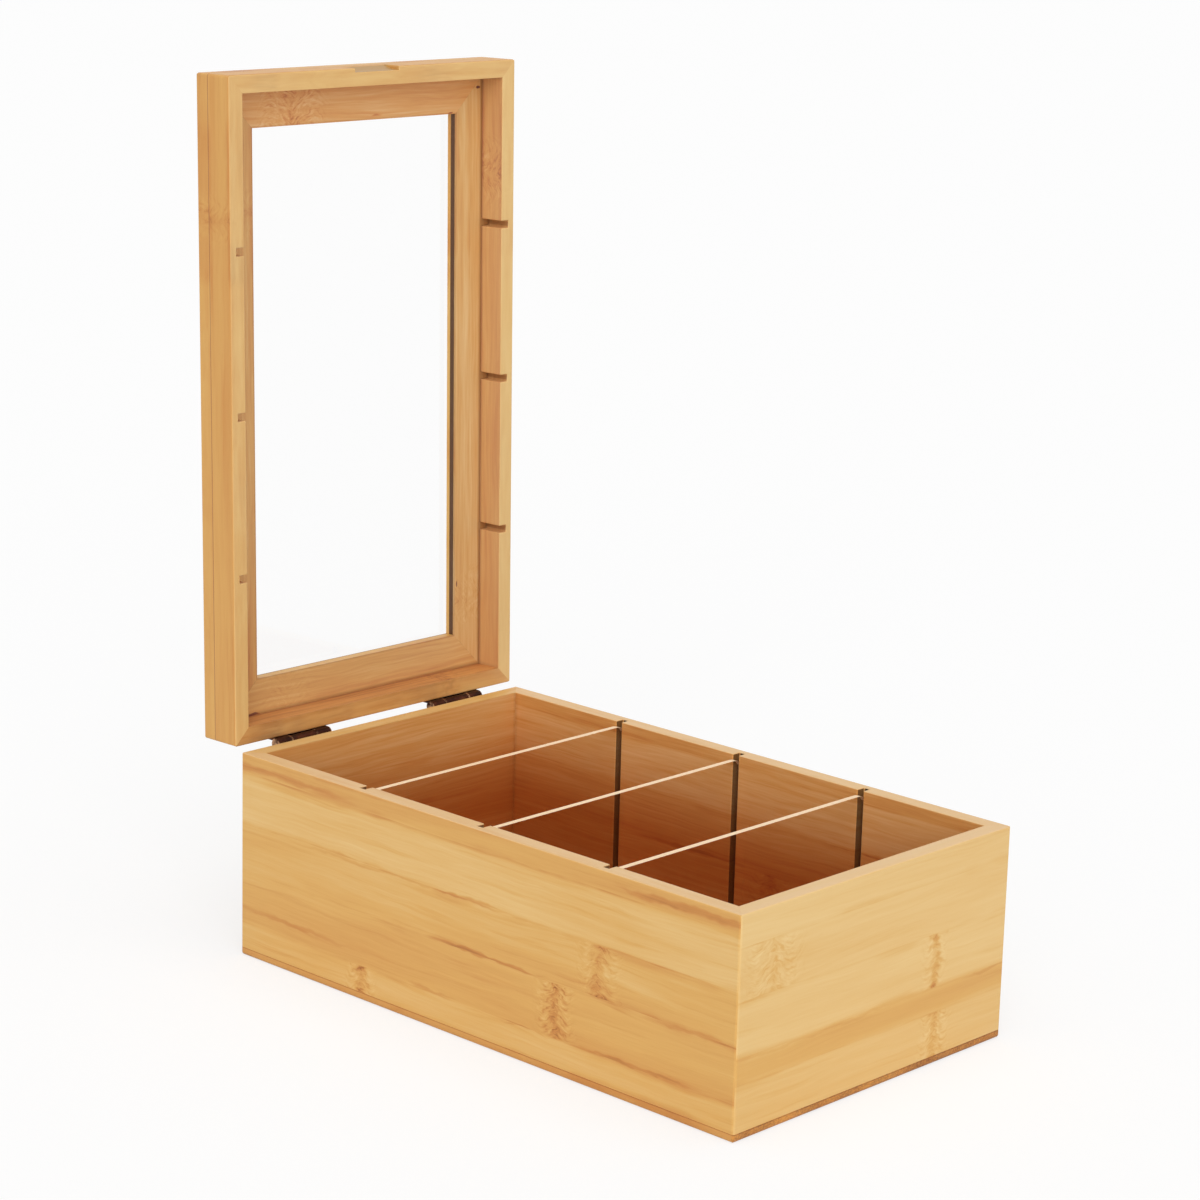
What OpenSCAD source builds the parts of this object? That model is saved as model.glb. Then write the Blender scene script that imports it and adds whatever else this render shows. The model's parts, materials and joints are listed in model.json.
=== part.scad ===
// Tea bag organizer box: a bamboo case with a hinged lid that has a window,
// and three clear dividers that drop into grooves sawn across case and lid.
// Millimetres. The front is at -Y, the hinges are at +Y and +Z is up.
// The origin is at the centre of the base board's underside.
// The lid is drawn closed and then turned open round the hinge pins.

/* [Case] */
// Length of the case, front to back
case_len = 260; // [200:1:340]
// Width of the case, side to side
case_w = 151; // [125:1:220]
// Height of the case, from the table to its rim
case_h = 83; // [60:1:130]
// Thickness of the walls of case and lid
wall_t = 7; // [6:0.1:10]
// Thickness of the base board
base_t = 3.2; // [2.6:0.1:6]
// Rounding of the base board's lower edges
base_round = 1.6; // [0.5:0.1:2.4]
// Rounding of the upright outer corners
corner_round = 1.2; // [0.4:0.1:3]
// Easing of the outer edges at the rims and on top of the lid
edge_ease = 0.7; // [0.2:0.1:1.5]
// Easing of the outer edges where glued boards meet
joint_ease = 0.1; // [0.05:0.05:0.5]

/* [Lid] */
// Height of the lid's walls, from the rim to the window frame
lid_wall_h = 12; // [11:0.5:30]
// Thickness of the window frame's members
frame_t = 6.8; // [5:0.1:10]
// Width of the window frame's members
frame_w = 21.6; // [14:0.1:35]
// Thickness of the window pane
pane_t = 2; // [1:0.1:3]
// How far the pane is let in below the top of the frame
pane_sink = 0.2; // [0:0.1:1]
// Width of the ledge round the window, which the pane lies on
pane_ledge_w = 4.5; // [3:0.1:8]
// Angle of the open lid, where the hinges stop it
open_angle = 91; // [80:1:110]
// Gap between the two rims when the lid is shut
rim_gap = 0.1; // [0.05:0.05:0.5]
// Width of the finger scoop under the lid's front edge
scoop_w = 23; // [15:1:40]
// Height of the finger scoop, up from the lid's rim
scoop_h = 9; // [5:0.5:11]
// Depth of the finger scoop at the lid's rim
scoop_d = 1.6; // [0.8:0.1:3]

/* [Dividers] */
// Distance from one groove to the next
groove_pitch = 63.5; // [50:0.5:80]
// Width of the grooves
groove_w = 3; // [2.5:0.1:5]
// Depth of the grooves
groove_d = 3.8; // [2:0.1:4.5]
// Play of a divider between the sides of its grooves
divider_slack = 0.5; // [0.3:0.1:1]
// Play of a divider at each end, in the bottoms of its grooves
divider_end_play = 0.3; // [0.2:0.1:1]
// Distance from the case's rim down to a divider's top edge
divider_drop = 1.8; // [0.5:0.1:20]
// Radius of a divider's upper corners
divider_corner = 6; // [1:0.5:12]
// Radius of a divider's lower corners
divider_foot_corner = 0.5; // [0.2:0.1:2]

/* [Hinges] */
// Length of a hinge's barrel
hinge_len = 28; // [24:1:40]
// Distance between the middles of the two hinges
hinge_spacing = 84; // [60:1:90]
// Distance from the pin's axis to a leaf's far edge
leaf_reach = 11.5; // [10:0.5:11.5]
// Thickness of a leaf
leaf_t = 1; // [0.8:0.1:1.4]
// Outer diameter of the barrel
barrel_d = 4.4; // [4.2:0.1:6]
// Diameter of the pin
pin_d = 2.2; // [1.6:0.1:2.6]
// Gap between the barrel and the back walls
barrel_gap = 0.1; // [0.05:0.05:0.3]
// Distance from the case's rim down to the pin's axis
pin_drop = 1; // [0:0.1:1.4]
// Length of the middle knuckle, which is the lower leaf's
mid_knuckle = 13; // [10:0.5:18]
// Gap between neighbouring knuckles
knuckle_gap = 0.3; // [0.2:0.1:0.6]
// Distance between the two screws of a leaf
screw_spacing = 18; // [14:0.5:20]
// Distance from the pin's axis to the screws
screw_reach = 7.6; // [7:0.1:8]
// Diameter of a screw's shank
screw_d = 2; // [1.6:0.1:2.4]
// Diameter of a screw's head
screw_head_d = 4; // [3:0.1:4.6]
// Length of a screw, head included
screw_len = 6; // [4:0.5:6.5]

/* [Hidden] */

$fn = 64;
eps = 0.01;                                   // overlap of a cutter past the face it opens
fit_play = 0.05;                              // running clearance round pins and screws
heel_gap = 0.15;                              // between a stop heel and the case's back wall
heel_proud = 0.2;                             // reach of a stop heel past its barrel
leaf_corner = 2;                              // radius of a leaf's far corners
pane_play = 0.3;                              // clearance round the pane's edges

bamboo = [0.87, 0.68, 0.42];
bamboo_lid = [0.83, 0.61, 0.36];
acrylic = [0.85, 0.92, 0.95, 0.45];
bronze = [0.29, 0.15, 0.08];

lid_rim_z = case_h + rim_gap;                 // closed lid: rim, window frame and top
frame_z = lid_rim_z + lid_wall_h;
lid_top_z = frame_z + frame_t;

barrel_r = barrel_d / 2;
pin_back = barrel_r + barrel_gap;             // the pin's axis, behind the back walls
pin_y = case_len / 2 + pin_back;
pin_z = case_h - pin_drop;
heel_y = pin_back - heel_gap;                 // stop heel: its flat's distance from the axis
heel_h = barrel_r + heel_proud;               // and its height below the axis
heel_swing_r = norm([heel_y, heel_h]);        // circle that the heel's corner draws
left_hinge_x = -hinge_spacing / 2;
right_hinge_x = hinge_spacing / 2;

divider_t = groove_w - divider_slack;
divider_w = case_w - 2 * wall_t + 2 * (groove_d - divider_end_play);
divider_h = case_h - divider_drop - base_t;

pane_z = lid_top_z - pane_sink - pane_t;      // the ledge, and the pane's inner face

// ---- shapes shared by the boards ----

// Square with the corners at its low and high end rounded apart
module eased_section(w, h, r_low, r_high) {
    difference() {
        translate([-w / 2, 0]) square([w, h]);
        for (side = [-1, 1]) scale([side, 1]) {
            translate([w / 2 - r_low, 0]) corner_waste(r_low, 0);
            translate([w / 2 - r_high, h - r_high]) corner_waste(r_high, r_high);
        }
    }
}

// What rounding takes off a corner; the round's centre is at height y = r - top
module corner_waste(r, top) {
    difference() {
        translate([0, top == 0 ? -eps : 0]) square([r + eps, r + eps]);
        translate([0, top == 0 ? r : 0]) circle(r);
    }
}

// Block over the case's plan, with its long edges and its upright corners rounded
module eased_block(z0, z1, r_low, r_high) {
    h = z1 - z0;
    intersection() {
        translate([0, case_len / 2, z0]) rotate([90, 0, 0])
            linear_extrude(case_len) eased_section(case_w, h, r_low, r_high);
        translate([-case_w / 2, 0, z0]) rotate([90, 0, 90])
            linear_extrude(case_w) eased_section(case_len, h, r_low, r_high);
        translate([0, -case_len / 2, z0])
            linear_extrude(h) eased_section(case_w, case_len, corner_round, corner_round);
    }
}

// Plan of a mitred member along the front edge, seen from above
module mitred_plan(run, width) {
    polygon([[-run / 2, 0], [run / 2, 0], [run / 2 - width, width], [-run / 2 + width, width]]);
}

// Puts a member that was drawn along the front edge on one of the four sides
module on_side(side) {
    turn = side == "front" ? 0 : side == "right" ? 90 : side == "back" ? 180 : 270;
    reach = side == "front" || side == "back" ? case_len / 2 : case_w / 2;
    rotate([0, 0, turn]) translate([0, -reach, 0]) children();
}

// Length of the member on a side
function run_of(side) = side == "front" || side == "back" ? case_w : case_len;

// One member of a mitred ring, eased on the outside as part of its block
module ring_member(side, width, z0, z1, r_low, r_high) {
    intersection() {
        eased_block(z0, z1, r_low, r_high);
        on_side(side) translate([0, 0, z0 - 1]) linear_extrude(z1 - z0 + 2) mitred_plan(run_of(side), width);
    }
}

// The three grooves as they cross both long walls
module divider_grooves(z0, z1) {
    cut_w = case_w - 2 * wall_t + 2 * groove_d;
    for (i = [-1, 0, 1])
        translate([-cut_w / 2, i * groove_pitch - groove_w / 2, z0]) cube([cut_w, groove_w, z1 - z0]);
}

// Turns what is drawn on the closed lid to where the open lid stands
module opened() {
    translate([0, pin_y, pin_z]) rotate([-open_angle, 0, 0]) translate([0, -pin_y, -pin_z]) children();
}

// ---- case ----

module base_board() {
    color(bamboo) eased_block(0, base_t, base_round, joint_ease);
}

module case_wall(side) {
    color(bamboo) difference() {
        ring_member(side, wall_t, base_t, case_h, joint_ease, edge_ease);
        divider_grooves(base_t - 1, case_h + 1);
        screw_holes(-1);
    }
}

// ---- dividers ----

// Clear sheet that stands on the base board in the grooves of one row
module divider(row) {
    color(acrylic) translate([0, row * groove_pitch + divider_t / 2, base_t]) rotate([90, 0, 0])
        linear_extrude(divider_t) eased_section(divider_w, divider_h, divider_foot_corner, divider_corner);
}

// ---- lid ----

module lid_wall(side) {
    color(bamboo_lid) opened() difference() {
        ring_member(side, wall_t, lid_rim_z, frame_z, edge_ease, joint_ease);
        divider_grooves(lid_rim_z - 1, frame_z + 1);
        finger_scoop();
        screw_holes(1);
    }
}

// Shallow cove across the front wall's lower edge, where a fingertip lifts the lid
module finger_scoop() {
    cutter_r = (scoop_h * scoop_h + scoop_d * scoop_d) / (2 * scoop_d);
    translate([-scoop_w / 2, -case_len / 2 + scoop_d - cutter_r, lid_rim_z]) rotate([0, 90, 0])
        cylinder(r = cutter_r, h = scoop_w, $fn = 180);
}

module window_member(side) {
    color(bamboo_lid) opened() difference() {
        ring_member(side, frame_w, frame_z, lid_top_z, joint_ease, edge_ease);
        window_slab(pane_ledge_w, pane_sink + pane_t + eps);
    }
}

// Slab on the pane's level over the window's opening and over the frame members up to reach
module window_slab(reach, t) {
    w = case_w - 2 * (frame_w - reach);
    l = case_len - 2 * (frame_w - reach);
    translate([-w / 2, -l / 2, pane_z]) cube([w, l, t]);
}

module window_pane() {
    color(acrylic) opened() window_slab(pane_ledge_w - pane_play, pane_t);
}

// ---- hinges ----

// Section of a leaf round the pin's axis: way is -1 down the case and 1 up the lid
module leaf_section(way) {
    difference() {
        union() {
            circle(barrel_r);
            translate([-pin_back, way < 0 ? -leaf_reach : 0]) square([leaf_t, leaf_reach]);
            if (way > 0) stop_heel_section();
        }
        circle(pin_d / 2 + fit_play);
    }
}

// Square heel on the upper leaf's barrel: with the lid open its flat meets the case's back wall
module stop_heel_section() {
    rotate(open_angle) translate([-heel_y, -heel_h]) square([heel_y, heel_h]);
}

// Leaf of the hinge at x with its barrel along the whole length
module leaf_blank(x, way) {
    difference() {
        translate([x - hinge_len / 2, pin_y, pin_z]) rotate([90, 0, 90]) linear_extrude(hinge_len) leaf_section(way);
        for (side = [-1, 1])
            translate([x + side * (hinge_len / 2 - leaf_corner), pin_y - pin_back, pin_z + way * (leaf_reach - leaf_corner)])
                leaf_corner_waste(side, way);
        leaf_screws(x, way, fit_play);
    }
}

// What rounding takes off a far corner of a leaf, seen from the round's centre
module leaf_corner_waste(side, way) {
    r = leaf_corner;
    difference() {
        translate([side < 0 ? -r - eps : 0, -leaf_t, way < 0 ? -r - eps : 0]) cube([r + eps, 3 * leaf_t, r + eps]);
        rotate([90, 0, 0]) cylinder(r = r, h = 6 * leaf_t, center = true);
    }
}

// Room for the other leaf between x0 and x1, from below to above the pin's axis
module knuckle_room(x0, x1, below, above) {
    translate([x0, case_len / 2 - 1, pin_z - below]) cube([x1 - x0, pin_back + heel_swing_r + 2, below + above]);
}

// The lower leaf keeps the middle knuckle
module hinge_lower_leaf(x) {
    kept = (mid_knuckle - knuckle_gap) / 2;
    room = heel_swing_r + knuckle_gap;
    color(bronze) difference() {
        leaf_blank(x, -1);
        knuckle_room(x - hinge_len, x - kept, room, barrel_r + 1);
        knuckle_room(x + kept, x + hinge_len, room, barrel_r + 1);
    }
}

// The upper leaf keeps the two end knuckles
module hinge_upper_leaf(x) {
    gone = (mid_knuckle + knuckle_gap) / 2;
    color(bronze) opened() difference() {
        leaf_blank(x, 1);
        knuckle_room(x - gone, x + gone, heel_swing_r + 1, barrel_r + knuckle_gap);
    }
}

module hinge_pin(x) {
    color(bronze) translate([x - hinge_len / 2, pin_y, pin_z]) rotate([0, 90, 0]) cylinder(d = pin_d, h = hinge_len);
}

// One countersunk screw, head out to +Y at the origin, grown all round by grow
module countersunk_screw(grow) {
    shank_r = screw_d / 2 + grow;
    head_r = screw_head_d / 2 + grow;
    rotate([90, 0, 0]) {
        cylinder(r1 = head_r, r2 = shank_r, h = leaf_t);
        cylinder(r = shank_r, h = screw_len + grow);
        if (grow > 0) translate([0, 0, -1]) cylinder(r = head_r, h = 1);
    }
}

// The two screws of the leaf at x: way is -1 in the case and 1 in the lid
module leaf_screws(x, way, grow) {
    for (side = [-1, 1])
        translate([x + side * screw_spacing / 2, case_len / 2 + leaf_t, pin_z + way * screw_reach])
            countersunk_screw(grow);
}

module hinge_screws(way) {
    leaf_screws(left_hinge_x, way, 0);
    leaf_screws(right_hinge_x, way, 0);
}

// Holes that the screws need in the back walls
module screw_holes(way) {
    for (x = [left_hinge_x, right_hinge_x]) leaf_screws(x, way, fit_play);
}

module lower_hinge_screws() {
    color(bronze) hinge_screws(-1);
}

module upper_hinge_screws() {
    color(bronze) opened() hinge_screws(1);
}

// ---- nodes ----

base_board();
case_wall("left");  // case_left_wall
case_wall("right");  // case_right_wall
case_wall("front");  // case_front_wall
case_wall("back");  // case_back_wall
divider(1);  // back_divider
divider(0);  // middle_divider
divider(-1);  // front_divider
lid_wall("left");  // lid_left_wall
lid_wall("right");  // lid_right_wall
lid_wall("front");  // lid_front_wall
lid_wall("back");  // lid_back_wall
window_member("left");  // window_left_stile
window_member("right");  // window_right_stile
window_member("front");  // window_front_rail
window_member("back");  // window_back_rail
window_pane();
hinge_lower_leaf(left_hinge_x);  // left_hinge_lower_leaf
hinge_upper_leaf(left_hinge_x);  // left_hinge_upper_leaf
hinge_pin(left_hinge_x);  // left_hinge_pin
hinge_lower_leaf(right_hinge_x);  // right_hinge_lower_leaf
hinge_upper_leaf(right_hinge_x);  // right_hinge_upper_leaf
hinge_pin(right_hinge_x);  // right_hinge_pin
lower_hinge_screws();
upper_hinge_screws();
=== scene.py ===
"""Tea bag organizer box: bamboo case and lid, clear dividers and window, bronzed hinges."""

import json
import math
from collections import namedtuple

import bmesh
import bpy
from mathutils import Matrix, Vector

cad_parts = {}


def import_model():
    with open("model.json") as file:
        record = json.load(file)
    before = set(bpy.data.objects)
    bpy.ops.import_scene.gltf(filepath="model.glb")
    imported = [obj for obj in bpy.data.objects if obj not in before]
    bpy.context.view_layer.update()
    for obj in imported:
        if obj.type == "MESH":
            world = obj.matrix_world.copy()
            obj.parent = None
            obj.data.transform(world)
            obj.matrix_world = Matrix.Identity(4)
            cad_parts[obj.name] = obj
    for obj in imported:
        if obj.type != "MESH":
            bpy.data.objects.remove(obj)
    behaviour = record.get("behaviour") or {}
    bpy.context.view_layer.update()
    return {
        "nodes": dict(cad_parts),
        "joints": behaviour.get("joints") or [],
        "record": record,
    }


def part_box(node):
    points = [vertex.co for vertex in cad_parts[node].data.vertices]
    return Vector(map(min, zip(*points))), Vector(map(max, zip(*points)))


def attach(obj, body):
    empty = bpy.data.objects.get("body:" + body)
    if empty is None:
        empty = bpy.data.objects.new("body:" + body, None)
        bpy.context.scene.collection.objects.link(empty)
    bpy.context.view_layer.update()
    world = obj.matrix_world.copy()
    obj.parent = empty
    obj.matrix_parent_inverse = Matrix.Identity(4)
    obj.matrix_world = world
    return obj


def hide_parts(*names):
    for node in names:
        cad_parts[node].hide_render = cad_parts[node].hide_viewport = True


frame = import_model()
nodes = frame["nodes"]
record = frame["record"]

MM = 0.001

# ---- shader values ----


class Value:
    """What comes out of a shader node. Arithmetic on it adds Math nodes."""

    def __init__(self, finish, socket):
        self.finish = finish
        self.socket = socket

    def math(self, operation, *rest):
        return self.finish.node("Math", {"operation": operation}, dict(enumerate((self, *rest))))

    def __add__(self, other):
        return self.math("ADD", other)

    __radd__ = __add__

    def __mul__(self, other):
        return self.math("MULTIPLY", other)

    __rmul__ = __mul__

    def __sub__(self, other):
        return self.math("SUBTRACT", other)

    def __rsub__(self, other):
        return self.finish.node("Math", {"operation": "SUBTRACT"}, {0: other, 1: self})

    def __truediv__(self, other):
        return self.math("DIVIDE", other)

    def __abs__(self):
        return self.math("ABSOLUTE")

    def squared(self):
        return self * self

    def lowest(self, other):
        return self.math("MINIMUM", other)

    def highest(self, other):
        return self.math("MAXIMUM", other)

    def rise(self, low, high):
        """0 below low, 1 above high, and a smooth step between them."""
        limits = {"From Min": low, "From Max": high}
        return self.finish.node("MapRange", {"interpolation_type": "SMOOTHSTEP"}, {0: self, **limits})

    def fall(self, low, high):
        return 1 - self.rise(low, high)

    def outlet(self, which):
        """Another output of the same node."""
        return Value(self.finish, self.socket.node.outputs[which])


class Finish:
    """The nodes of a material or of the world, added one by one."""

    def __init__(self, owner):
        self.owner = owner
        self.owner.use_nodes = True
        self.tree = self.owner.node_tree
        self.tree.nodes.clear()

    def node(self, kind, settings=None, sockets=None, out=0):
        """Adds a node with its settings, then the values or links of its sockets."""
        made = self.tree.nodes.new("ShaderNode" + kind)
        for key, setting in (settings or {}).items():
            if key == "stops":
                fill_ramp(made.color_ramp, setting)
            elif key == "steps":
                fill_ramp(made.color_ramp, setting)
                made.color_ramp.interpolation = "CONSTANT"
            else:
                setattr(made, key, setting)
        for key, value in (sockets or {}).items():
            if isinstance(value, Value):
                self.tree.links.new(value.socket, made.inputs[key])
            else:
                made.inputs[key].default_value = value
        return Value(self, made.outputs[out] if made.outputs else None)

    def axes(self):
        """Place on the piece in millimetres, as x, y and z."""
        split = self.node("SeparateXYZ", {}, {0: self.node("TexCoord").outlet("Object")})
        return [split.outlet(i) / MM for i in range(3)]

    def noise(self, x, y, z, detail=2.0, roughness=0.5):
        """Cloudy noise around 0.5. x, y and z count its cells, so x / 9 makes them 9 mm wide."""
        place = self.node("CombineXYZ", {}, {0: x, 1: y, 2: z})
        sockets = {"Vector": place, "Scale": 1.0, "Detail": detail, "Roughness": roughness}
        return self.node("TexNoise", {}, sockets)

    def ramp(self, share, *stops):
        """A colour that goes through the stops, each a share and its colour."""
        return self.node("ValToRGB", {"stops": stops}, {0: share})

    def mix(self, share, first, second, way="MIX"):
        """Mixes two colours."""
        settings = {"data_type": "RGBA", "blend_type": way}
        return self.node("Mix", settings, {0: share, 6: first, 7: second}, out=2)

    def bump(self, height, strength, reach):
        """Small relief, reach millimetres deep."""
        return self.node("Bump", {}, {"Strength": strength, "Distance": reach * MM, "Height": height})

    def done(self, shader, output="OutputMaterial"):
        self.node(output, {}, {"Surface": shader})
        return self.owner


def fill_ramp(ramp, stops):
    """Sets a ramp's stops. A new ramp has two."""
    while len(ramp.elements) < len(stops):
        ramp.elements.new(1.0)
    for element, (place, colour) in zip(ramp.elements, stops):
        element.position = place
        element.color = colour


def grey(level):
    """Colour without a hue."""
    return (level, level, level, 1.0)


def paint(code):
    """Linear colour of a six-digit screen colour."""
    parts = [int(code[i : i + 2], 16) / 255 for i in (0, 2, 4)]
    return (*[p / 12.92 if p <= 0.04045 else ((p + 0.055) / 1.055) ** 2.4 for p in parts], 1.0)


# ---- sizes, in millimetres, read off the frame ----

BODY_OF = {node: body for body, members in record["behaviour"]["bodies"].items() for node in members}
DIVIDERS = [node for node in nodes if node.endswith("divider")]

base_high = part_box("base_board")[1] / MM
back_low, back_high = (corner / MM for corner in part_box("case_back_wall"))
divider_low, divider_high = (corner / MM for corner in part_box("middle_divider"))
pin_low, pin_high = (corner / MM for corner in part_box("left_hinge_pin"))
screws_low, screws_high = (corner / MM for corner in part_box("lower_hinge_screws"))
lid_hinge = next(joint for joint in frame["joints"] if joint["name"] == "lid_hinge")

HALF_LEN = base_high.y
HALF_W = base_high.x
BASE_T = base_high.z
CASE_H = back_high.z
WALL_T = back_high.y - back_low.y
GROOVES = [sum(corner.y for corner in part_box(node)) / 2 / MM for node in DIVIDERS]
DIVIDER_SLACK = 0.5
GROOVE_W = divider_high.y - divider_low.y + DIVIDER_SLACK
DIVIDER_END = HALF_W - divider_high.x

# The lid stands open in the frame. TO_SHUT turns a place on it to where it lies on the shut box.
PIN = Vector((0, pin_low.y + pin_high.y, pin_low.z + pin_high.z)) / 2 * MM
SHUT = Matrix.Rotation(math.radians(lid_hinge["range_deg"][1]), 4, "X")
TO_SHUT = Matrix.Translation(PIN) @ SHUT @ Matrix.Translation(-PIN)
TO_OPEN = TO_SHUT.inverted()


def shut_size(node):
    """Lowest and highest corners of a node of the lid, on the shut box."""
    places = [TO_SHUT @ vert.co / MM for vert in nodes[node].data.vertices]
    return [Vector([pick(place[i] for place in places) for i in range(3)]) for pick in (min, max)]


lid_wall_low, lid_wall_high = shut_size("lid_left_wall")
stile_low, stile_high = shut_size("window_left_stile")
LID_RIM_Z = lid_wall_low.z
FRAME_Z = lid_wall_high.z
FRAME_W = stile_high.x - stile_low.x

# A hinge lies HINGE_X from the middle of the box. Its knuckles have the radius BARREL_R and end at
# KNUCKLE_ENDS on both sides of its middle. Each of its leaves has two screws, SCREW_SPACING apart and
# SCREW_REACH from the pin.
HINGE_X = -(pin_low.x + pin_high.x) / 2
BARREL_R = 2.2
KNUCKLE_ENDS = (6.6, (pin_high.x - pin_low.x) / 2)
LEAF_T = screws_high.y - HALF_LEN
SCREW_LEN = screws_high.y - screws_low.y
SCREW_REACH = PIN.z / MM - (screws_low.z + screws_high.z) / 2
SCREW_HEAD_R = 2.0
SCREW_R = 1.0
SCREW_TIP_R = 0.3
SCREW_SPACING = 2 * (screws_high.x - HINGE_X - SCREW_HEAD_R)

# The cross recess of a screw's head: its arms, its depth and how far its floor narrows.
RECESS_REACH = 1.15
RECESS_HALF = 0.26
RECESS_DEPTH = 0.55
RECESS_FLOOR = 0.6

# How wide the edges are softened.
BOARD_EASE = 0.4
SHEET_EASE = 0.25
LEAF_EASE = 0.1

# ---- pieces ----

# Corners nearer than MERGED millimetres are one, faces that turn less than FLAT degrees are one face,
# and edges that turn less than ROUND degrees are shaded smooth.
MERGED = 0.001
FLAT = 0.5
ROUND = 30


def piece(name, bm, node, materials):
    """Turns a finished bmesh into the piece that stands for a node."""
    mesh = bpy.data.meshes.new(name)
    bm.to_mesh(mesh)
    bm.free()
    kept_normals = mesh.attributes.get("custom_normal")
    if kept_normals is not None:
        mesh.attributes.remove(kept_normals)
    for material in materials:
        mesh.materials.append(material)
    made = bpy.data.objects.new(name, mesh)
    bpy.context.scene.collection.objects.link(made)
    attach(made, BODY_OF[node])
    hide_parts(node)
    return made


def worked_copy(node, sharp, ease):
    """The node's shape with whole flat faces. An outer edge that turns more than sharp degrees weighs
    ease(edge), which is how much of the softening it gets."""
    bm = bmesh.new()
    bm.from_mesh(nodes[node].data)
    bmesh.ops.remove_doubles(bm, verts=bm.verts, dist=MERGED * MM)
    bmesh.ops.dissolve_limit(bm, angle_limit=math.radians(FLAT), verts=bm.verts, edges=bm.edges)
    weight = bm.edges.layers.float.new("bevel_weight_edge")
    for face in bm.faces:
        face.smooth = True
    for edge in bm.edges:
        if not edge.is_manifold:
            continue
        turn = edge.calc_face_angle_signed()
        if turn > math.radians(sharp):
            edge[weight] = ease(edge)
        edge.smooth = edge[weight] > 0 or abs(turn) < math.radians(ROUND)
    return bm


def soften(made, width, segments):
    """Rounds the edges that have a weight, at most width millimetres wide, and keeps the faces flat."""
    bevel = made.modifiers.new("soft_edges", "BEVEL")
    bevel.limit_method = "WEIGHT"
    bevel.width = width * MM
    bevel.segments = segments
    bevel.profile = 0.5
    bevel.use_clamp_overlap = False
    shading = made.modifiers.new("flat_faces", "WEIGHTED_NORMAL")
    shading.weight = 100
    shading.keep_sharp = True


# ---- bamboo ----

# grain is the axis that the fibres follow, and width the axis across the strips that a board is glued up
# from. joints are the places of the strips' edges, and tones how dark each strip is at its two edges.
# figure is how strongly the fibres are drawn.
Board = namedtuple("Board", "node grain width joints tones rings flecks figure", defaults=((), (), 1.0))

# A growth ring crosses one strip at a place along the grain. curl is how strongly the fibres beside it
# curl, dark how dark it is, and width how wide.
Ring = namedtuple("Ring", "place strip curl dark width")

# A dark fault in the wood, or a long faint streak.
Fleck = namedtuple("Fleck", "along across length height dark")

# the wood itself, from pale to dark
PALE, HONEY, AMBER, BROWN, UMBER = (paint(c) for c in ("F0D193", "E0AE60", "CF8E47", "A2602A", "5E3013"))

# sawn faces: the rims, the grooves, the finger scoop and the end grain of the base board; the grooves'
# and the scoop's colours are painted shade
CASE_SAWN = paint("E9C28C")
LID_SAWN = paint("EBC786")
CASE_GROOVE_PAINTED_SHADE = paint("2E160A")
LID_GROOVE_PAINTED_SHADE = paint("74410F")
SCOOP_PAINTED_SHADE = paint("B08A50")
END_GRAIN = paint("DC943E")
END_PORES = paint("7E4416")

# inner sides: painted shade low in the case and painted warm light high in it, the tints in the lid and
# on the window's front rail, and painted shade along the window's frame and at the edge of its opening
INNER_LOW_PAINTED_SHADE = paint("CC8E68")
INNER_HIGH_PAINTED_WARM_LIGHT = paint("FFEDEC")
BLUSH = paint("C8A0A4")
EMBER = paint("F08838")
CREVICE_PAINTED_SHADE = paint("8A4818")
OPENING_PAINTED_SHADE = paint("4A2608")

# how much of the sawn colour the rims of case and lid take, and the walls whose rims take another share
CASE_PALENESS = 0.85
LID_PALENESS = 0.6
PALENESS = {"case_back_wall": 0.2, "lid_back_wall": 0.25, "lid_right_wall": 0.8}

# how far a strip's edge blends into its neighbour, and how far apart two strips' patterns lie
STRIP_BLEND = 1.3
STRIP_APART = 37.0

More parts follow.
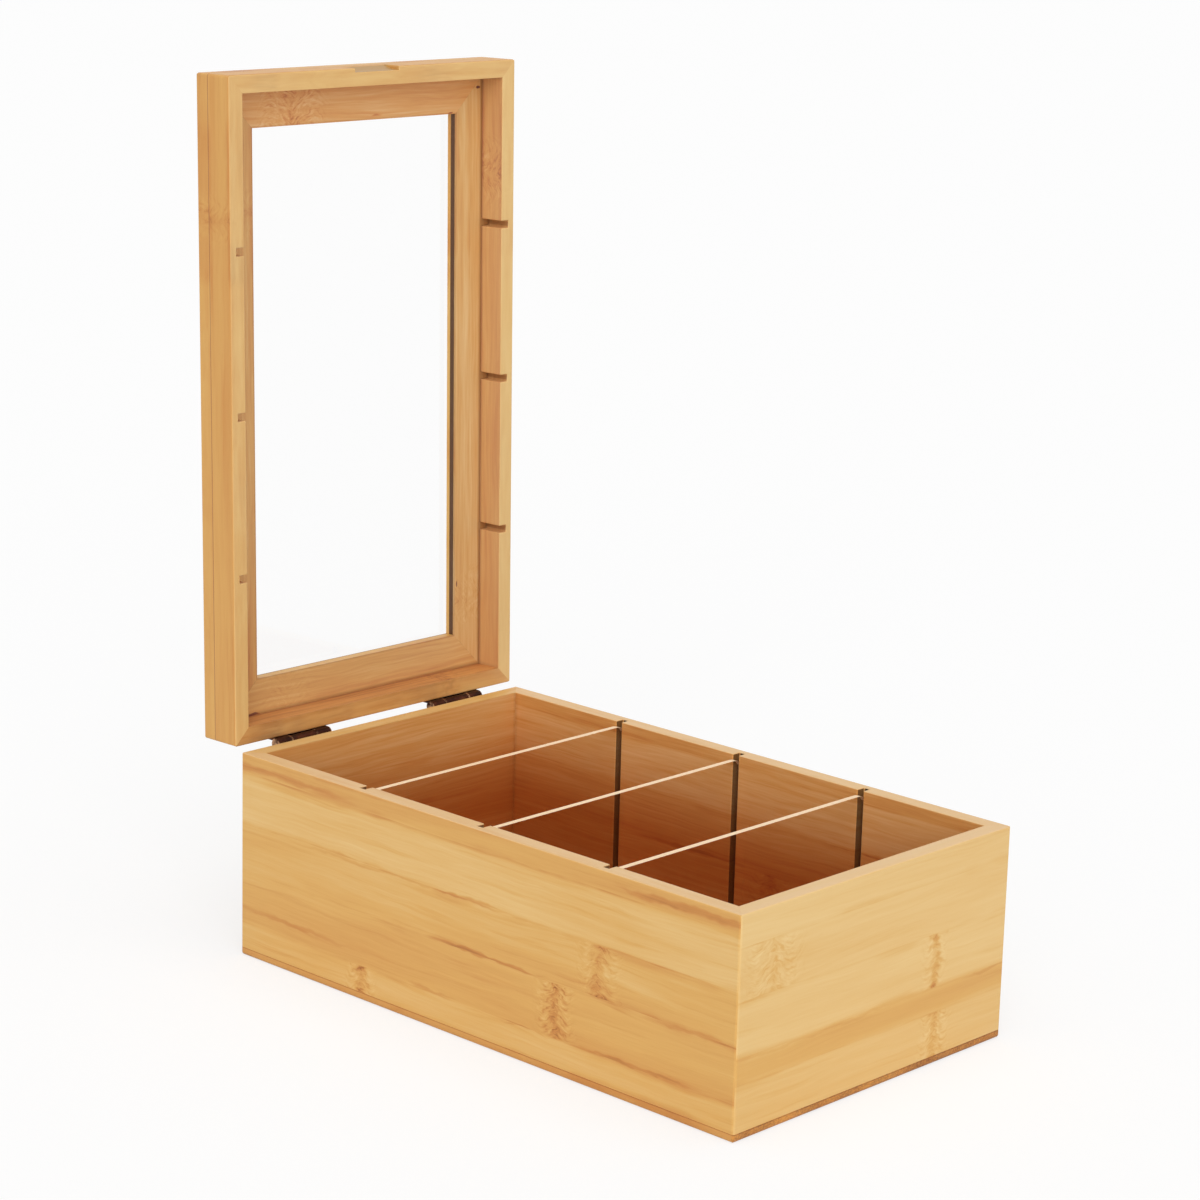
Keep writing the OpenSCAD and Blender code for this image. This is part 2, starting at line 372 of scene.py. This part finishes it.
BOARDS = [
    Board("base_board", "y", "x",
          joints=(-76, -52, -30, -8, 14, 36, 58, 76),
          tones=((0.46, 0.38), (0.34, 0.44), (0.50, 0.44), (0.38, 0.32), (0.46, 0.54), (0.36, 0.44),
                 (0.50, 0.46)),
          rings=(Ring(38, 2, 0.8, 0.7, 5), Ring(-70, 4, 0.8, 0.7, 5), Ring(92, 5, 0.8, 0.5, 5))),
    Board("case_left_wall", "y", "z",
          joints=(3, 14, 35, 55, 75.5, 84),
          tones=((0.28, 0.24), (0.38, 0.31), (0.29, 0.26), (0.21, 0.20), (0.37, 0.38)),
          rings=(Ring(60.3, 0, 1.0, 1.1, 3.5), Ring(-42.5, 1, 1.2, 1.1, 4.0),
                 Ring(-64, 2, 0.8, 0.9, 4.5)),
          flecks=(Fleck(34, 54.6, 76, 1.0, 0.12), Fleck(5, 54.7, 20, 1.1, 0.14),
                  Fleck(-8, 35.2, 33, 1.0, 0.22), Fleck(-110, 35.0, 30, 1.1, 0.13),
                  Fleck(21, 14.2, 14, 1.0, 0.16), Fleck(-83, 14.4, 32, 0.9, 0.16),
                  Fleck(-28, 14.0, 14, 0.7, 0.14), Fleck(98, 20.0, 40, 1.3, 0.12),
                  Fleck(106, 78.5, 46, 1.6, 0.13), Fleck(-108, 78.8, 40, 1.9, 0.20))),
    Board("case_front_wall", "x", "z",
          joints=(3, 20.5, 30, 51, 71, 84),
          tones=((0.19, 0.17), (0.31, 0.33), (0.15, 0.13), (0.15, 0.14), (0.11, 0.12)),
          rings=(Ring(35.2, 0, 0.9, 0.7, 3.5), Ring(33.9, 2, 0.6, 1.0, 3.0),
                 Ring(-57, 3, 0.7, 0.15, 6.0)),
          flecks=(Fleck(66, 29.4, 17, 0.9, 0.13), Fleck(-30, 29.6, 50, 0.8, 0.07),
                  Fleck(-68, 50.8, 12, 0.8, 0.08), Fleck(-58, 66.8, 1.6, 0.8, 0.16)),
          figure=0.6),
    Board("case_right_wall", "y", "z",
          joints=(3, 18, 38, 58, 78, 84),
          tones=((0.34, 0.28), (0.24, 0.30), (0.36, 0.28), (0.22, 0.20), (0.30, 0.30)),
          rings=(Ring(-20, 1, 1.0, 0.8, 4), Ring(75, 0, 0.9, 0.8, 3.5), Ring(-92, 1, 0.9, 0.6, 4)),
          flecks=(Fleck(20, 38, 40, 1.0, 0.16), Fleck(-70, 58, 30, 1.0, 0.16))),
    Board("case_back_wall", "x", "z",
          joints=(3, 24, 45, 65, 84),
          tones=((0.32, 0.26), (0.22, 0.30), (0.34, 0.27), (0.23, 0.25)),
          rings=(Ring(22, 0, 1.0, 0.8, 4), Ring(-48, 0, 0.9, 0.8, 3.5)),
          flecks=(Fleck(-20, 45, 30, 1.0, 0.16),)),
    Board("lid_left_wall", "y", "z",
          joints=(83, 96),
          tones=((0.42, 0.41),),
          rings=(Ring(-75, 0, 0.5, 0.4, 4),)),
    Board("lid_right_wall", "y", "z",
          joints=(83, 96),
          tones=((0.37, 0.31),),
          rings=(Ring(-84, 0, 1.2, 0.3, 6),)),
    Board("lid_front_wall", "x", "z",
          joints=(83, 96),
          tones=((0.42, 0.38),),
          rings=(Ring(-28, 0, 0.8, 0.1, 4.5),)),
    # the lid's back wall has darker tones: painted shade, as it lies low in the open lid
    Board("lid_back_wall", "x", "z",
          joints=(83, 96),
          tones=((0.56, 0.64),),
          rings=(Ring(41, 0, 0.8, 0.4, 4),)),
    Board("window_left_stile", "y", "x",
          joints=(-76, -54),
          tones=((0.36, 0.36),),
          rings=(Ring(-75, 0, 0.5, 0.4, 4),)),
    Board("window_right_stile", "y", "x",
          joints=(54, 62, 76),
          tones=((0.25, 0.19), (0.21, 0.29)),
          rings=(Ring(94, 0, 0.9, 0.3, 5), Ring(92, 1, 0.9, 0.25, 5)),
          flecks=(Fleck(86.7, 55.2, 1.6, 0.35, 0.8), Fleck(-118.5, 66.3, 0.7, 1.8, 0.9))),
    Board("window_front_rail", "x", "y",
          joints=(-130, -108),
          tones=((0.32, 0.26),),
          rings=(Ring(-33, 0, 1.7, 0.7, 7),),
          flecks=(Fleck(10.5, -109.6, 3.0, 0.5, 0.4), Fleck(51.0, -108.6, 1.8, 0.5, 0.8)),
          figure=1.4),
    Board("window_back_rail", "x", "y",
          joints=(108, 130),
          tones=((0.32, 0.36),),
          rings=(Ring(-38, 0, 0.4, 0.1, 6),),
          flecks=(Fleck(-57.0, 122.6, 5.0, 0.8, 1.0),),
          figure=1.2),
]


def in_lid(board):
    """Whether the board moves with the lid."""
    return BODY_OF[board.node] == "lid"


def board_space(finish, board):
    """Place on the board in millimetres with the lid shut, as x, y and z by name."""
    place = finish.node("TexCoord").outlet("Object")
    if in_lid(board):
        sockets = {"Vector": place, "Location": PIN - SHUT @ PIN, "Rotation": SHUT.to_euler()}
        place = finish.node("Mapping", {"vector_type": "POINT"}, sockets)
    split = finish.node("SeparateXYZ", {}, {0: place})
    return {name: split.outlet(i) / MM for i, name in enumerate("xyz")}


def strip_ramps(finish, board, across):
    """How dark the strip is at this place, and a number of the strip's own."""
    low, high = board.joints[0], board.joints[-1]
    share = (across - low) / (high - low)
    soft = STRIP_BLEND / board.figure
    stops = []
    steps = []
    for i, (start, end, tones) in enumerate(zip(board.joints, board.joints[1:], board.tones)):
        stops.append(((start + soft - low) / (high - low), grey(tones[0])))
        stops.append(((end - soft - low) / (high - low), grey(tones[1])))
        steps.append(((start - low) / (high - low), grey((i + 0.5) / len(board.tones))))
    tone = finish.ramp(share, *stops)
    number = finish.node("ValToRGB", {"steps": steps}, {0: share}) * (STRIP_APART * len(board.tones))
    return tone, number


def nearest(value, places):
    """Distance from a value to the nearest of some places."""
    gaps = [abs(value - place) for place in places]
    least = gaps[0]
    for gap in gaps[1:]:
        least = least.lowest(gap)
    return least


def growth_rings(finish, board, along, across, strip):
    """The board's rings: where fibres curl, how far they lean, and the stain and dark marks there."""
    drift = finish.noise(along / 9, across / 3.5, strip, 2, 0.6)
    marks = finish.noise(along / 4, across / 1.6, strip + 3, 2, 0.6).rise(0.40, 0.62)
    edge = nearest(across, board.joints).fall(0.8, 4.0)
    curled = 0
    lean = 0
    stain = 0
    marked = 0
    for ring in board.rings:
        start, end = board.joints[ring.strip], board.joints[ring.strip + 1]
        bow = ((across - (start + end) / 2) / (end - start) * 2).squared()
        far = abs(along - ring.place + bow * 1.2 + (drift - 0.5) * 9)
        inside = across.rise(start - 0.3, start + 0.6) * across.fall(end - 0.6, end + 0.3)
        zone = far.fall(ring.width, ring.width * 3.2) * inside
        core = far.fall(0.5, 3.0) * 0.5 + far.fall(1.0, ring.width) * edge * 0.5
        curled = zone * ring.curl + curled
        lean = far * zone * 0.75 + lean
        stain = far.fall(0.0, ring.width * 1.5) * inside * ring.dark + stain
        marked = core * (marks * 0.8 + 0.2) * inside * ring.dark + marked
    return curled, lean, stain, marked


def bamboo(board):
    """Lacquered bamboo: strips glued edge to edge, with a growth ring here and there."""
    finish = Finish(bpy.data.materials.new(board.node + "_bamboo"))
    axis = board_space(finish, board)
    along, across = axis[board.grain], axis[board.width]
    through = axis[next(name for name in "xyz" if name not in (board.grain, board.width))]
    wander = finish.noise(along / 48, through / 20, 0.5, 1)
    tone, strip = strip_ramps(finish, board, across + (wander - 0.5) * 1.2)
    curled, lean, stained, marked = growth_rings(finish, board, along, across, strip)

    # fibres: they wander a little, curl at the rings and gather in darker tongues
    curl = finish.noise(along / 2.1, across / 1.7, through / 2 + strip, 3, 0.6)
    drift = finish.noise(along / 60, across / 12, strip, 2)
    lane = across + (drift - 0.5) * 6 + (curl - 0.5) * curled * 2.5
    cloud = finish.noise(along / 110, lane / 9, through / 9 + strip, 2)
    tongue = finish.noise(along / 62, lane / 2.6, through / 5 + strip, 4, 0.6).rise(0.50, 0.78)
    streak = finish.noise(along / 42, lane / 1.3, through / 3 + strip, 3, 0.6)
    fibre = finish.noise(along / 12, lane / 0.4, through / 0.8 + strip, 2, 0.6)
    feather = finish.noise(along / 3.6, (across + lean) / 1.1, through / 2 + strip, 2, 0.5)
    dash = finish.noise(along / 4.5, lane / 0.3, through / 0.5 + strip, 1).rise(0.66, 0.80)

    # glue lines, dark in stretches, with long thin stains beside them
    off_line = nearest(across + (streak - 0.5) * 0.8, board.joints)
    patches = finish.noise(along / 26, strip, 0.5, 2).rise(0.46, 0.70)
    line = off_line.fall(0.1, 0.7) * patches
    lens = finish.noise(along / 46, strip, 4.5, 2).rise(0.46, 0.70)
    edging = (off_line / (lens * 3.2 + 0.2)).fall(0.2, 1.1) * lens

    # how dark the wood is here, inner sides with more figure, and its dark faults
    inner, layers = LAYERS[board.node.split("_")[0]](finish, board, axis, streak)
    drawn = (cloud - 0.5) * 0.30 + tongue * 0.13 + (streak - 0.5) * (0.16 + inner * 0.34)
    drawn = drawn + (fibre - 0.5) * (0.09 + inner * 0.10) + dash * 0.04 + line * 0.14 + edging * 0.13
    tone = tone + drawn * board.figure + stained * 0.11 + marked * 0.26
    tone = tone + ((feather - 0.5) * 0.55 + feather.rise(0.54, 0.70) * 0.07) * curled
    ripple = finish.noise(along / 14, across / 12, strip + 7, 2, 0.6)
    for fleck in board.flecks:
        far = ((along - fleck.along) / fleck.length).squared()
        wide = ((across + (ripple - 0.5) * 5 - fleck.across) / fleck.height).squared()
        rough = (curl - 0.5) * min(1.2, 4 / fleck.length)
        tone = tone + (far + wide + rough).fall(0.0, 1.1) * fleck.dark

    colour = finish.ramp(tone, (0.0, PALE), (0.30, HONEY), (0.55, AMBER), (0.80, BROWN), (1.0, UMBER))
    for share, shade, way in layers:
        colour = finish.mix(share, colour, shade, way)

    relief = (fibre - 0.5) * 0.4 + (feather - 0.5) * curled * 1.5 - line * 0.3
    sockets = {
        "Base Color": colour,
        "Roughness": 0.48 + (streak - 0.5) * 0.2 + marked * 0.1,
        "Normal": finish.bump(relief, 0.3, 0.08),
        "Specular IOR Level": 0.4,
        "Coat Weight": 0.08,
        "Coat Roughness": 0.3,
    }
    return finish.done(finish.node("BsdfPrincipled", {}, sockets))


def inward(x, y):
    """How far in from the sides and from the ends of the box a place lies."""
    return HALF_W - abs(x), HALF_LEN - abs(y)


# How far in from a wall's outer face its inner faces begin, and the reach of the finger scoop to both
# sides and into the wall.
SKIN = 3.0
SCOOP_REACH = 11.6
SCOOP_DEPTH = 2.4

# Each kind of board has a function that tells where its inner side is, and the layers of colour that lie
# on its wood, each a share, a colour and the way they are mixed.


def base_layers(finish, board, axis, streak):
    """Painted shade on the upper side and in the line under the walls, and dark end grain."""
    x, y, z = (axis[name] for name in "xyz")
    at_end = inward(x, y)[1].fall(0.4, 1.2)
    inner = z.rise(BASE_T - 0.2, BASE_T - 0.05)
    pores = finish.noise(x / 0.6, y / 4, z / 0.5, 2, 0.7)
    speck = pores * 0.6 + finish.noise(x / 17, y / 30, 0.5, 2) * 0.4
    cut_end = finish.ramp(speck + x.rise(12, 22) * 0.08, (0.38, END_GRAIN), (0.66, END_PORES))
    # painted shade in the gap under the walls, stronger at the ends of the box
    under = z.rise(BASE_T - 0.6, BASE_T - 0.1) * (1 - inner)
    # the upper side, the floor of the case, takes the painted shade of the case's low inner sides
    layers = [(inner, INNER_LOW_PAINTED_SHADE, "MULTIPLY"), (at_end * 0.8, cut_end, "MIX")]
    layers.append((under * (0.15 + at_end * 0.4), UMBER, "MIX"))
    return inner, layers


def wall_layers(finish, board, axis, streak):
    """Inner side, sawn rim, and painted shade in the case, corners, grooves, scoop and under the lid's
    frame.
    """
    x, y, z = (axis[name] for name in "xyz")
    side, end = inward(x, y)
    depth, beside = (side, end) if board.grain == "y" else (end, side)
    lid = in_lid(board)
    rim = ((z - LID_RIM_Z) if lid else (CASE_H - z)).fall(0.12, 0.35)
    inner = depth.rise(SKIN - 0.4, SKIN) * (1 - rim)
    # painted shade in the inner corners where the walls meet
    corner = beside.fall(WALL_T + 0.2, WALL_T + 1.8) * 0.15
    layers = []
    if lid:
        # painted shade in the crevice where a lid wall meets the window's frame
        layers.append((inner * z.rise(FRAME_Z - 1.7, FRAME_Z - 0.1) * 0.55, CREVICE_PAINTED_SHADE, "MIX"))
        layers.append((inner * (0.06 if board.node == "lid_back_wall" else 0.18), BLUSH, "MIX"))
    else:
        # painted shade low in the case, and painted warm light high in it
        painted_light_by_height = finish.mix(z.rise(CASE_H * 0.4, CASE_H), INNER_LOW_PAINTED_SHADE, INNER_HIGH_PAINTED_WARM_LIGHT)
        layers.append((inner, painted_light_by_height, "MULTIPLY"))
    layers.append((corner * inner, UMBER, "MIX"))
    if board.node == "lid_front_wall":
        # painted shade in the finger scoop
        reached = abs(x).fall(SCOOP_REACH - 0.4, SCOOP_REACH)
        scoop = reached * end.rise(0.12, 0.3) * end.fall(SCOOP_DEPTH - 0.4, SCOOP_DEPTH) * (1 - rim)
        layers.append((scoop * 0.8, SCOOP_PAINTED_SHADE, "MIX"))
    if board.grain == "y":
        # painted shade: the bottom of a groove is dark, and in the case so are its two sides
        aside = nearest(y, GROOVES) / GROOVE_W
        groove_painted_shade = aside.fall(0.15, 0.42)
        if not lid:
            groove_painted_shade = groove_painted_shade + aside.rise(0.47, 0.49) * aside.fall(0.5, 0.51) * 0.8
        groove_painted_shade = groove_painted_shade * depth.rise(DIVIDER_END - 0.6, DIVIDER_END - 0.4)
        layers.append((groove_painted_shade * (0.6 if lid else 0.95), LID_GROOVE_PAINTED_SHADE if lid else CASE_GROOVE_PAINTED_SHADE, "MIX"))
    paleness = PALENESS.get(board.node, LID_PALENESS if lid else CASE_PALENESS)
    layers.append((rim * (paleness - (streak - 0.5) * 0.8), LID_SAWN if lid else CASE_SAWN, "MIX"))
    return inner, layers


def window_layers(finish, board, axis, streak):
    """Under side, mitre, and painted shade along the walls and the opening's edge, on a member of the
    window's frame.
    """
    z = axis["z"]
    side, end = inward(axis["x"], axis["y"])
    depth = side.lowest(end)
    inner = z.fall(FRAME_Z + 0.2, FRAME_Z + 0.5)
    # painted shade in the corner where the frame meets the walls, and a line of it along the opening's
    # edge
    corner = depth.fall(WALL_T + 0.1, WALL_T + 1.6) * inner
    lip = depth.rise(FRAME_W - 0.9, FRAME_W - 0.1) * inner
    opening = depth.rise(FRAME_W - 0.4, FRAME_W - 0.2) * z.rise(FRAME_Z + 0.3, FRAME_Z + 0.7)
    mitre = abs(side - end).fall(0.06, 0.25) * streak.rise(0.45, 0.6) * 0.3
    layers = [(inner * 0.12, BLUSH, "MIX"), (corner * 0.55, CREVICE_PAINTED_SHADE, "MIX"), (mitre, UMBER, "MIX"),
              (lip * 0.3, CREVICE_PAINTED_SHADE, "MIX")]
    if board.node == "window_front_rail":
        layers.append((inner * 0.2, EMBER, "MIX"))
    # painted shade: the opening's edge is dark low on the stiles, and on the rails where the pane is
    # seated
    if board.grain == "y":
        layers.append((opening * z.fall(FRAME_Z + 2.6, FRAME_Z + 3.2) * 0.95, OPENING_PAINTED_SHADE, "MIX"))
    else:
        layers.append((z.rise(FRAME_Z + 3.6, FRAME_Z + 4.1) * opening * 0.5, UMBER, "MIX"))
    return inner, layers


LAYERS = {"base": base_layers, "case": wall_layers, "lid": wall_layers, "window": window_layers}

# Two places within TOUCH millimetres are one, and NEAR and EDGE are how near an edge lies to a joint
# between boards and to the outer faces. Where boards lie flush, an edge is softened by only FLUSH_SHARE.
TOUCH = 0.02
NEAR = 0.3
EDGE = 1.0
FLUSH_SHARE = 0.15


def ease_of(board, edge):
    """How much of the softening an edge gets: none at mitres and screw holes, little at flush joints."""
    places = [(TO_SHUT @ vert.co if in_lid(board) else vert.co) / MM for vert in edge.verts]
    insets = [inward(place.x, place.y) for place in places]
    if all(abs(side - end) < TOUCH for side, end in insets):
        return 0.0
    from_screws = [abs(abs(place.z - PIN.z / MM) - SCREW_REACH) for place in places]
    if max(from_screws) < SCREW_HEAD_R and all(HALF_LEN - place.y < TOUCH for place in places):
        return 0.0
    on_base = all(abs(place.z - BASE_T) < NEAR for place in places)
    on_lid = all(abs(place.z - FRAME_Z) < NEAR for place in places)
    outside = all(min(inset) < EDGE for inset in insets)
    return FLUSH_SHARE if on_base or (on_lid and outside) else 1.0


def eased_board(board):
    """The board with its sharp edges broken by hand."""
    bm = worked_copy(board.node, sharp=40, ease=lambda edge: ease_of(board, edge))
    made = piece(board.node + "_wood", bm, board.node, [bamboo(board)])
    soften(made, BOARD_EASE, segments=3)


# ---- acrylic ----


def clear_acrylic():
    """Clear sheet, seen through but for what its outer faces mirror."""
    finish = Finish(bpy.data.materials.new("clear_acrylic"))
    behind = finish.node("NewGeometry").outlet("Backfacing")
    mirrored = finish.node("Fresnel", {}, {"IOR": 1.49}) * (1 - behind)
    seen = finish.node("BsdfTransparent", {}, {"Color": grey(1.0)})
    gloss = finish.node("BsdfGlossy", {}, {"Color": grey(1.0), "Roughness": 0.04})
    return finish.done(finish.node("MixShader", {}, {0: mirrored, 1: seen, 2: gloss}))


def scraped_edge(name, dull, bright):
    """Sawn and scraped edge of a sheet."""
    finish = Finish(bpy.data.materials.new(name))
    x, y, z = finish.axes()
    chatter = finish.noise(x / 0.9, y / 3, z / 0.9, 3, 0.7)
    colour = finish.ramp(chatter, (0.3, paint(dull)), (0.7, paint(bright)))
    relief = finish.bump(chatter, 0.3, 0.04)
    sockets = {"Base Color": colour, "Roughness": 0.35 + chatter * 0.25, "Normal": relief}
    return finish.done(finish.node("BsdfPrincipled", {}, sockets))


def acrylic_sheet(node, clear, frosted, sawn):
    """The sheet with eased corners: clear, with frosted upper and lower edges and sawn ends."""
    bm = worked_copy(node, sharp=40, ease=lambda edge: 1.0)
    for face in bm.faces:
        upward = abs(face.normal.z) > 0.5
        sideways = abs(face.normal.x) > 0.5
        face.material_index = 1 if upward else 2 if sideways else 0
    made = piece(node + "_sheet", bm, node, [clear, frosted, sawn])
    soften(made, SHEET_EASE, segments=2)


# ---- bronzed steel ----

PAINTED_GLINT = paint("D8A880")


def bronze(name, dark, middle, light):
    """Plated steel, cloudy between three shades, with a painted glint at the ends of the knuckles."""
    finish = Finish(bpy.data.materials.new(name))
    x, y, z = finish.axes()
    cloud = finish.noise(x / 3, y / 3, z / 3, 3)
    grain = finish.noise(x / 0.3, y / 0.3, z / 0.3, 2)
    colour = finish.ramp(cloud, (0.35, paint(dark)), (0.6, paint(middle)), (0.8, paint(light)))
    off_axis = (y - PIN.y / MM).squared() + (z - PIN.z / MM).squared()
    on_barrel = off_axis.fall((BARREL_R + 0.08) ** 2, (BARREL_R + 0.21) ** 2)
    ends = nearest(abs(abs(x) - HINGE_X), KNUCKLE_ENDS).fall(0.1, 0.6) * on_barrel
    # painted glint at the ends of the knuckles
    colour = finish.mix(ends * cloud.rise(0.4, 0.6) * 0.7, colour, PAINTED_GLINT)
    relief = finish.bump(grain, 0.3, 0.03)
    sockets = {"Base Color": colour, "Metallic": 0.9, "Roughness": 0.26 + cloud * 0.2, "Normal": relief}
    return finish.done(finish.node("BsdfPrincipled", {}, sockets))


def rim_of(bm):
    """The edges round the opening of an open shape."""
    return [edge for edge in bm.edges if edge.is_boundary]


def drawn_on(bm, down, radius, new_radius):
    """Extends the open rim down by some millimetres, from one radius to another."""
    grown = bmesh.ops.extrude_edge_only(bm, edges=rim_of(bm))
    verts = [item for item in grown["geom"] if isinstance(item, bmesh.types.BMVert)]
    share = new_radius / radius
    bmesh.ops.scale(bm, vec=(share, share, 1), verts=verts)
    bmesh.ops.translate(bm, vec=(0, 0, -down * MM), verts=verts)


def screw_mesh():
    """Countersunk screw with a cross recess, head up at the origin."""
    bm = bmesh.new()
    bmesh.ops.create_circle(bm, cap_ends=True, segments=32, radius=SCREW_HEAD_R * MM)
    for axis in (Vector((1, 0, 0)), Vector((0, 1, 0))):
        for place in (-RECESS_REACH, -RECESS_HALF, RECESS_HALF, RECESS_REACH):
            everything = bm.verts[:] + bm.edges[:] + bm.faces[:]
            bmesh.ops.bisect_plane(bm, geom=everything, plane_co=axis * place * MM, plane_no=axis)
    cross = []
    for face in bm.faces:
        near, far = sorted(abs(c) / MM for c in face.calc_center_median().xy)
        if near < RECESS_HALF and far < RECESS_REACH:
            cross.append(face)
    outline = {edge for face in cross for edge in face.edges}
    sunk = bmesh.ops.extrude_face_region(bm, geom=cross + list(outline))
    floor = [item for item in sunk["geom"] if isinstance(item, bmesh.types.BMVert)]
    bmesh.ops.scale(bm, vec=(RECESS_FLOOR, RECESS_FLOOR, 1), verts=floor)
    bmesh.ops.translate(bm, vec=(0, 0, -RECESS_DEPTH * MM), verts=floor)
    drawn_on(bm, LEAF_T, SCREW_HEAD_R, SCREW_R)
    drawn_on(bm, SCREW_LEN - LEAF_T - SCREW_R, SCREW_R, SCREW_R)
    drawn_on(bm, SCREW_R, SCREW_R, SCREW_TIP_R)
    bmesh.ops.edgeloop_fill(bm, edges=rim_of(bm))
    bmesh.ops.recalc_face_normals(bm, faces=bm.faces)
    mesh = bpy.data.meshes.new("screw")
    bm.to_mesh(mesh)
    bm.free()
    return mesh


# How far the first screw's recess is turned, and how much further each next one.
FIRST_TURN = 0.5
NEXT_TURN = 0.9


def hinge_screws(node, way, metal):
    """The four screws of the lower leaves (way -1) or the upper ones (way 1), each with its own turn."""
    one = screw_mesh()
    bm = bmesh.new()
    places = [(x, side) for x in (-HINGE_X, HINGE_X) for side in (-1, 1)]
    for i, (x, side) in enumerate(places):
        known = len(bm.verts)
        bm.from_mesh(one)
        bm.verts.ensure_lookup_table()
        height = PIN.z / MM + way * SCREW_REACH
        spot = Vector((x + side * SCREW_SPACING / 2, HALF_LEN + LEAF_T, height)) * MM
        turned = Matrix.Rotation(FIRST_TURN + NEXT_TURN * i, 4, "Z")
        head_out = Matrix.Rotation(math.radians(-90), 4, "X")
        driven = Matrix.Translation(spot) @ head_out @ turned
        matrix = TO_OPEN @ driven if way > 0 else driven
        bmesh.ops.transform(bm, matrix=matrix, verts=bm.verts[known:])
    bpy.data.meshes.remove(one)
    piece(node + "_driven", bm, node, [metal])


def hinge_leaf(node, metal):
    """The leaf with its stamped edges softened and its knuckles smooth."""
    bm = worked_copy(node, sharp=50, ease=lambda edge: 1.0)
    made = piece(node + "_plate", bm, node, [metal])
    soften(made, LEAF_EASE, segments=2)


def give_finish(node, material):
    """Gives its finish to a node whose own shape stays."""
    slots = nodes[node].data.materials
    if len(slots) == 0:
        slots.append(material)
    for i in range(len(slots)):
        slots[i] = material


# ---- the box ----

for board in BOARDS:
    eased_board(board)
clear = clear_acrylic()
# frosted edges, their cream tint painted light that the sheets gather from the wood
frosted = scraped_edge("frosted_edge_painted_light", "FFD8A8", "FFE8C4")
# sawn ends, painted dark for the shade of the grooves they stand in
sawn = scraped_edge("sawn_end_painted_shade", "7A5838", "A88460")
for node in (*DIVIDERS, "window_pane"):
    acrylic_sheet(node, clear, frosted, sawn)
metal = bronze("bronzed_steel", "2C120A", "47200F", "6B3A1E")
# the screws are lighter than the hinge: a painted highlight on their heads
screw_metal = bronze("bronzed_screws_painted_highlight", "6A3C1E", "8A5630", "A87848")
for side in ("left", "right"):
    hinge_leaf(side + "_hinge_lower_leaf", metal)
    hinge_leaf(side + "_hinge_upper_leaf", metal)
    give_finish(side + "_hinge_pin", metal)
hinge_screws("lower_hinge_screws", -1, screw_metal)
hinge_screws("upper_hinge_screws", 1, screw_metal)

# ---- stage ----

# The floor's radius in metres, its grey, and the white that the camera sees a share of over it.
FLOOR_R = 12.0
FLOOR_GREY = 0.92
FLOOR_WHITE = 1.08
FLOOR_SHARE = 0.62

# How strongly the world lights the box, and how bright it looks itself.
WORLD_LIGHT = 0.5
WORLD_SEEN = 1.0

# The camera's place in millimetres, its angles in degrees, and its lens and sensor.
CAMERA_PLACE = (-898.09, -837.48, 455.39)
CAMERA_AZIMUTH = -46.620
CAMERA_ELEVATION = 13.683
CAMERA_ROLL = 1.555
CAMERA_LENS = 101.15
CAMERA_SENSOR = 36.0


def stage():
    """Pale floor; the camera sees it lighter than it is, so that its shadow stays faint."""
    finish = Finish(bpy.data.materials.new("studio_floor"))
    lit = finish.node("BsdfDiffuse", {}, {"Color": grey(FLOOR_GREY)})
    bright = finish.node("Emission", {}, {"Color": grey(1.0), "Strength": FLOOR_WHITE})
    seen = finish.node("LightPath").outlet("Is Camera Ray") * FLOOR_SHARE
    material = finish.done(finish.node("MixShader", {}, {0: seen, 1: lit, 2: bright}))
    mesh = bpy.data.meshes.new("studio_floor")
    bm = bmesh.new()
    bmesh.ops.create_circle(bm, cap_ends=True, segments=64, radius=FLOOR_R)
    bm.to_mesh(mesh)
    bm.free()
    mesh.materials.append(material)
    floor = bpy.data.objects.new("studio_floor", mesh)
    bpy.context.scene.collection.objects.link(floor)


def world():
    """Even light from all round. The camera and glossy surfaces see a white background."""
    finish = Finish(bpy.data.worlds.new("studio"))
    path = finish.node("LightPath")
    seen = path.outlet("Is Camera Ray").highest(path.outlet("Is Glossy Ray"))
    strength = seen * (WORLD_SEEN - WORLD_LIGHT) + WORLD_LIGHT
    background = finish.node("Background", {}, {"Color": grey(1.0), "Strength": strength})
    bpy.context.scene.world = finish.done(background, "OutputWorld")


def sun(name, strength, spread, towards):
    """A lamp that shines towards a direction, spread over some degrees."""
    lamp = bpy.data.lights.new(name, "SUN")
    lamp.energy = strength
    lamp.angle = math.radians(spread)
    holder = bpy.data.objects.new(name, lamp)
    holder.rotation_euler = Vector(towards).to_track_quat("-Z", "Y").to_euler()
    bpy.context.scene.collection.objects.link(holder)


def camera():
    """The camera turns about Z by azimuth, looks down by elevation and leans by roll."""
    azimuth, elevation, roll = (math.radians(a) for a in (CAMERA_AZIMUTH, CAMERA_ELEVATION, CAMERA_ROLL))
    level = math.cos(elevation)
    back = Vector((math.sin(azimuth) * level, -math.cos(azimuth) * level, math.sin(elevation)))
    right = Vector((math.cos(azimuth), math.sin(azimuth), 0))
    up = back.cross(right)
    side = right * math.cos(roll) + up * math.sin(roll)
    head = up * math.cos(roll) - right * math.sin(roll)
    data = bpy.data.cameras.new("camera")
    data.sensor_width = CAMERA_SENSOR
    data.lens = CAMERA_LENS
    holder = bpy.data.objects.new("camera", data)
    turn = Matrix((side, head, back)).transposed().to_4x4()
    holder.matrix_world = Matrix.Translation(Vector(CAMERA_PLACE) * MM) @ turn
    bpy.context.scene.collection.objects.link(holder)
    bpy.context.scene.camera = holder


stage()
world()
sun("top", strength=0.8, spread=60, towards=(0.1, 0.2, -1.0))
sun("front", strength=1.15, spread=50, towards=(0.85, 0.85, -0.5))
camera()
bpy.context.scene.view_settings.view_transform = "Standard"
